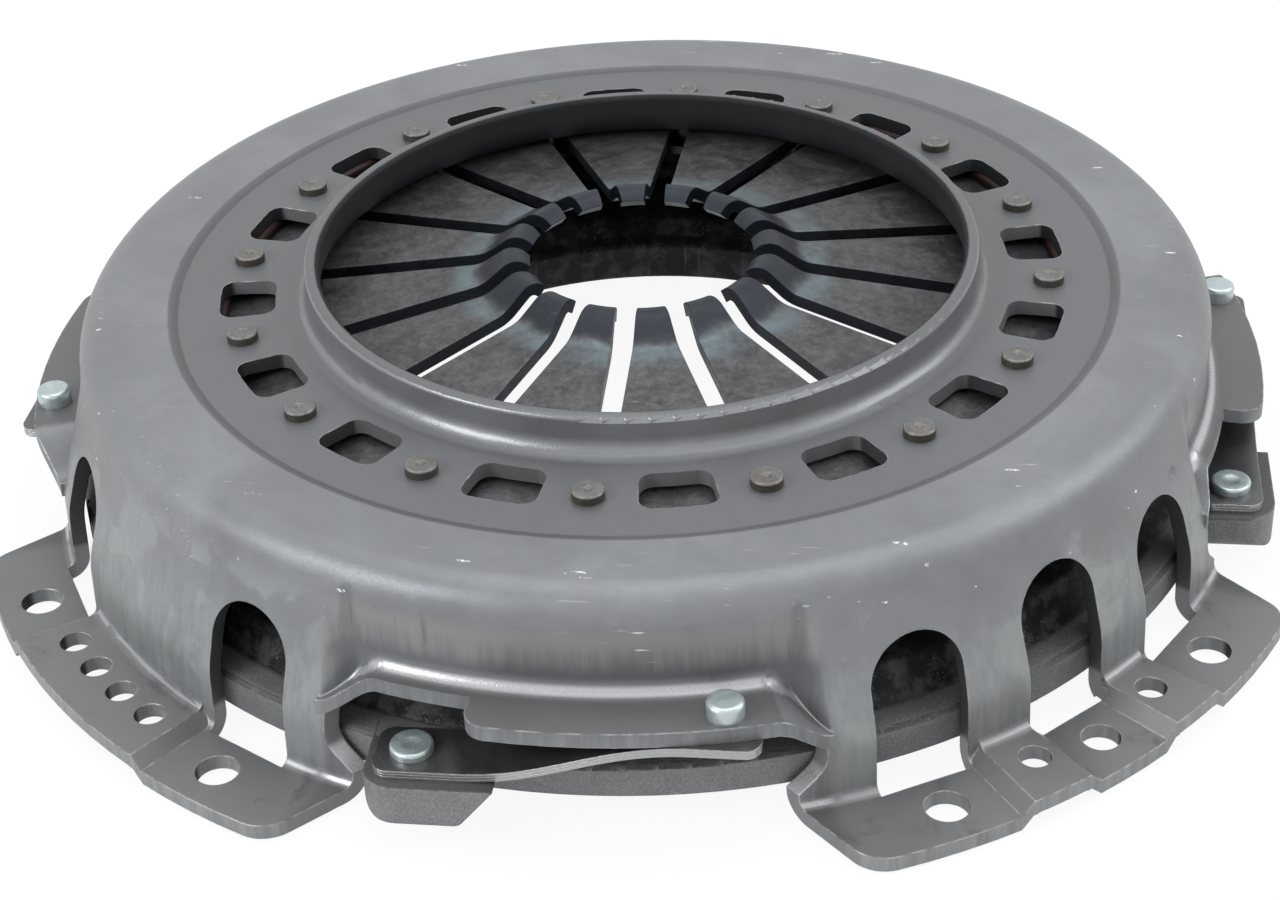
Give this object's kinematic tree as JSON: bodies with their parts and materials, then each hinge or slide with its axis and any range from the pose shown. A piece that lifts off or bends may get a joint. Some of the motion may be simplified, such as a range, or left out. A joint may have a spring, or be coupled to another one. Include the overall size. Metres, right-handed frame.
{
  "type": "clutch pressure plate",
  "caption": "Diaphragm-spring clutch cover assembly: pressed steel cover with bolt-down feet, finger spring, cast pressure plate and riveted leaf drive straps.",
  "frame": {"origin": "on the shaft axis, in the plane of the feet that bolts to the flywheel", "axes": "+Z away from the flywheel along the shaft; -Y towards one drive strap station, feet on the diagonals"},
  "size_m": [0.3568, 0.3568, 0.073],
  "materials": {
    "cover_steel": "dull oiled pressed steel",
    "cast_iron": "as cast, machined friction face",
    "spring_steel": "dark tempered, blued finger tips",
    "pin_steel": "worn brownish steel",
    "ring_wire": "drawn wire",
    "strap_steel": "dark rolled spring steel",
    "zinc_rivet": "bright zinc plate"
  },
  "bodies": {
    "cover_body": {"cover": "cover_steel", "diaphragm_spring": "spring_steel", "fulcrum_pins": "pin_steel", "upper_fulcrum_ring": "ring_wire", "lower_fulcrum_ring": "ring_wire", "front_strap_lower": "strap_steel", "front_strap_middle": "strap_steel", "front_strap_upper": "strap_steel", "right_strap_lower": "strap_steel", "right_strap_middle": "strap_steel", "right_strap_upper": "strap_steel", "back_strap_lower": "strap_steel", "back_strap_middle": "strap_steel", "back_strap_upper": "strap_steel", "left_strap_lower": "strap_steel", "left_strap_middle": "strap_steel", "left_strap_upper": "strap_steel", "front_cover_rivet": "zinc_rivet", "right_cover_rivet": "zinc_rivet", "back_cover_rivet": "zinc_rivet", "left_cover_rivet": "zinc_rivet"},
    "plate_body": {"pressure_plate": "cast_iron", "front_lug_rivet": "zinc_rivet", "right_lug_rivet": "zinc_rivet", "back_lug_rivet": "zinc_rivet", "left_lug_rivet": "zinc_rivet"}
  },
  "joints": [
    {"name": "plate_travel", "type": "slide", "parent": "cover_body", "child": "plate_body", "axis": [0, 0, 1], "range_m": [0, 0.0045], "stiffness_N_per_m": 30000, "deforming": ["diaphragm_spring", "front_strap_lower", "front_strap_middle", "front_strap_upper", "right_strap_lower", "right_strap_middle", "right_strap_upper", "back_strap_lower", "back_strap_middle", "back_strap_upper", "left_strap_lower", "left_strap_middle", "left_strap_upper"]}
  ]
}
